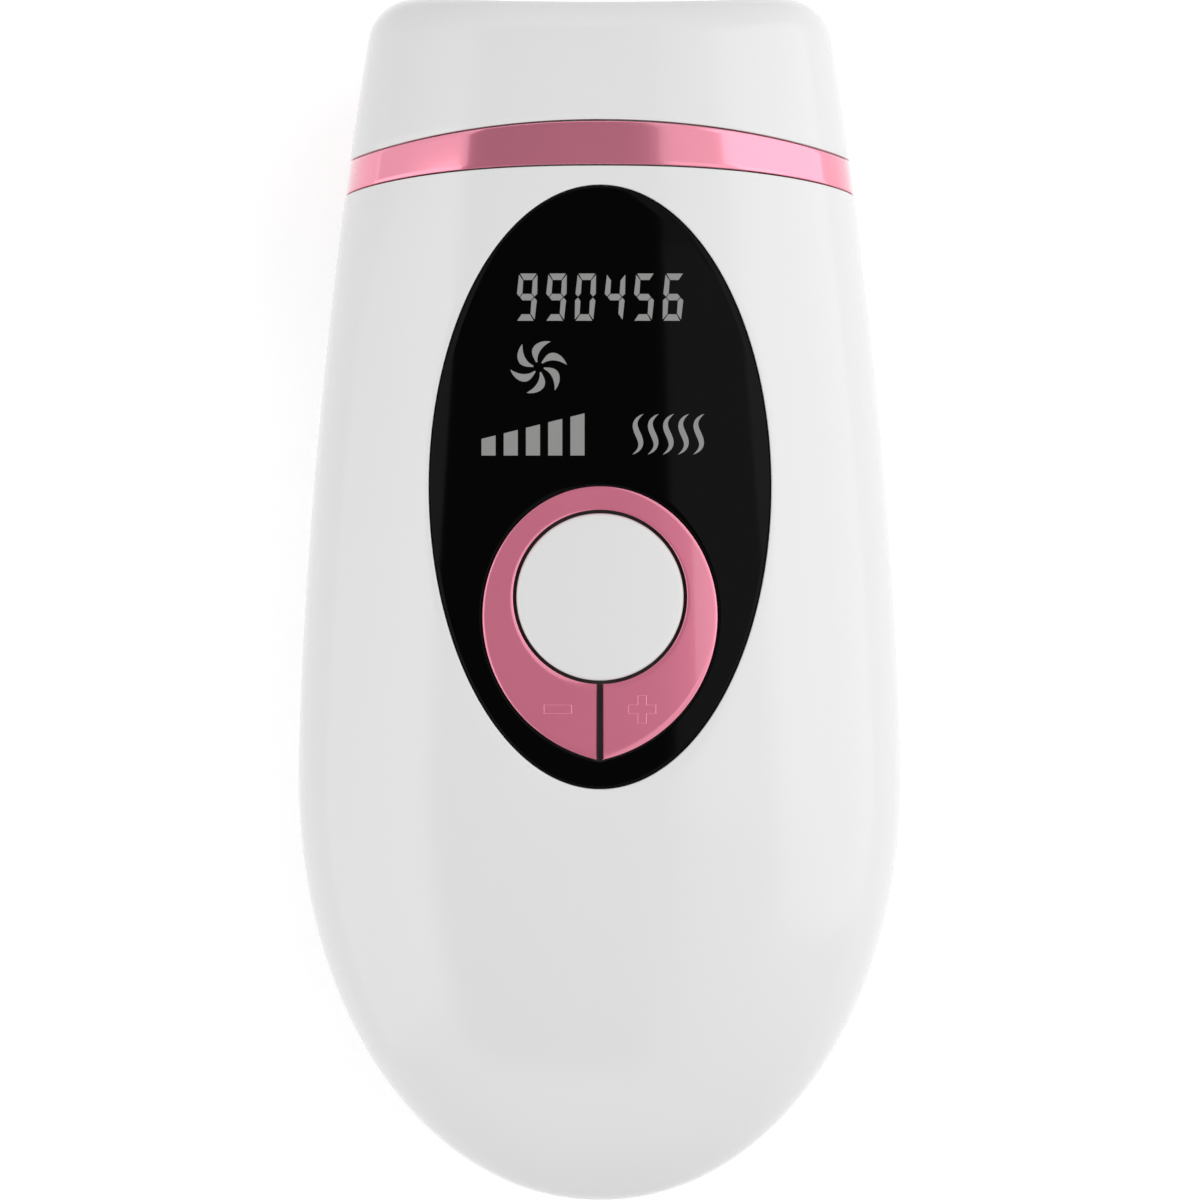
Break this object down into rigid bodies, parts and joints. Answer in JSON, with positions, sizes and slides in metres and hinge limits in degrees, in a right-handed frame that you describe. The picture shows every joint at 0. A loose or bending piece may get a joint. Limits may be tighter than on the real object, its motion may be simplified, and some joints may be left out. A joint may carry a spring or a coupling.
{
  "type": "ipl hair remover",
  "caption": "Hand-held flash-lamp hair remover: egg-shaped gloss white casing with a black oval display lens, a round button in a split pink key ring and a pink band round its treatment head.",
  "frame": {"origin": "middle of the handset over the plane that its flat back rests on", "axes": "+X across the handset, +Y from the socket end to the treatment window, +Z out of the display face"},
  "size_m": [0.0782, 0.156, 0.0426],
  "materials": {
    "white_shell": "moulded gloss white",
    "white_key": "moulded gloss white",
    "pink_metal": "metallised pink plastic, bright",
    "black_lens": "high gloss, tinted black",
    "black_rubber": "matt",
    "steel": "bright",
    "black_plastic": "fine matt",
    "tan_plastic": "matt",
    "circuit_board": "solder mask",
    "display_glass": "smoked",
    "milky_plastic": "translucent white",
    "white_plastic": "matt",
    "satin_metal": "satin plated",
    "gold_metal": "gold flash",
    "filter_glass": "amber filter",
    "bright_aluminium": "polished",
    "clear_glass": "clear",
    "white_rubber": "silicone",
    "aluminium": "extruded",
    "capacitor_sleeve": "shrink sleeve",
    "winding_tape": "polyester tape",
    "ferrite": "matt",
    "copper_wire": "enamelled",
    "red_wire": "silicone",
    "black_wire": "matt"
  },
  "bodies": {
    "casing": {"front_shell": "white_shell", "rear_shell": "white_shell", "head_cap": "white_shell", "trim_band": "pink_metal", "display_lens": "black_lens", "lens_gasket": "black_rubber", "key_bridge": "pink_metal", "power_switch": "black_plastic", "minus_switch": "black_plastic", "plus_switch": "black_plastic", "control_board": "circuit_board", "display_module": "display_glass", "display_diffuser": "milky_plastic", "board_screws": "steel", "ribbon_cable": "white_plastic", "contact_frame": "satin_metal", "contact_sensors": "gold_metal", "window_gasket": "black_rubber", "filter_glass": "filter_glass", "lamp_housing": "white_plastic", "reflector": "bright_aluminium", "flash_tube": "clear_glass", "lamp_electrodes": "steel", "lamp_holders": "white_rubber", "trigger_wire": "steel", "heat_sink": "aluminium", "thermal_cutoff": "steel", "air_duct": "black_plastic", "fan_frame": "black_plastic", "fan_shaft": "steel", "fan_screws": "steel", "dust_screen": "black_plastic", "power_board": "circuit_board", "power_board_screws": "steel", "flash_capacitors": "capacitor_sleeve", "transformer": "winding_tape", "trigger_coil": "winding_tape", "choke_core": "ferrite", "choke_winding": "copper_wire", "power_transistor": "black_plastic", "jack_body": "black_plastic", "jack_pin": "steel", "jack_spring": "gold_metal", "casing_screws": "steel", "lamp_leads": "red_wire", "fan_leads": "black_wire", "jack_leads": "black_wire"},
    "power_button": {"power_button": "white_key", "button_clip": "steel"},
    "minus_key": {"minus_key": "pink_metal"},
    "plus_key": {"plus_key": "pink_metal"},
    "power_plunger": {"power_plunger": "tan_plastic"},
    "minus_plunger": {"minus_plunger": "tan_plastic"},
    "plus_plunger": {"plus_plunger": "tan_plastic"},
    "fan_rotor": {"fan_impeller": "black_plastic"}
  },
  "joints": [
    {"name": "power_press", "type": "slide", "parent": "casing", "child": "power_button", "axis": [0, 0, -1], "range_m": [0, 0.0005], "stiffness_N_per_m": 900},
    {"name": "minus_press", "type": "hinge", "parent": "casing", "child": "minus_key", "pos_m": [-0.011, 0.0062, 0.04165], "axis": [1, 0, 0], "range_deg": [0, 1.28], "stiffness_Nm_per_rad": 0.35},
    {"name": "plus_press", "type": "hinge", "parent": "casing", "child": "plus_key", "pos_m": [0.011, 0.0062, 0.04165], "axis": [1, 0, 0], "range_deg": [0, 1.28], "stiffness_Nm_per_rad": 0.35},
    {"name": "power_contact", "type": "slide", "parent": "casing", "child": "power_plunger", "axis": [0, 0, -1], "range_m": [0, 0.0005]},
    {"name": "minus_contact", "type": "slide", "parent": "casing", "child": "minus_plunger", "axis": [0, 0, -1], "range_m": [0, 0.00047]},
    {"name": "plus_contact", "type": "slide", "parent": "casing", "child": "plus_plunger", "axis": [0, 0, -1], "range_m": [0, 0.00047]},
    {"name": "fan_spin", "type": "hinge", "parent": "casing", "child": "fan_rotor", "pos_m": [0, 0.033, 0.0186], "axis": [0, 1, 0], "continuous": true}
  ],
  "couplings": [
    {"joint": "power_contact", "follows": "power_press", "ratio": 1},
    {"joint": "minus_contact", "follows": "minus_press", "m_per_rad": 0.0202},
    {"joint": "plus_contact", "follows": "plus_press", "m_per_rad": 0.0202}
  ]
}
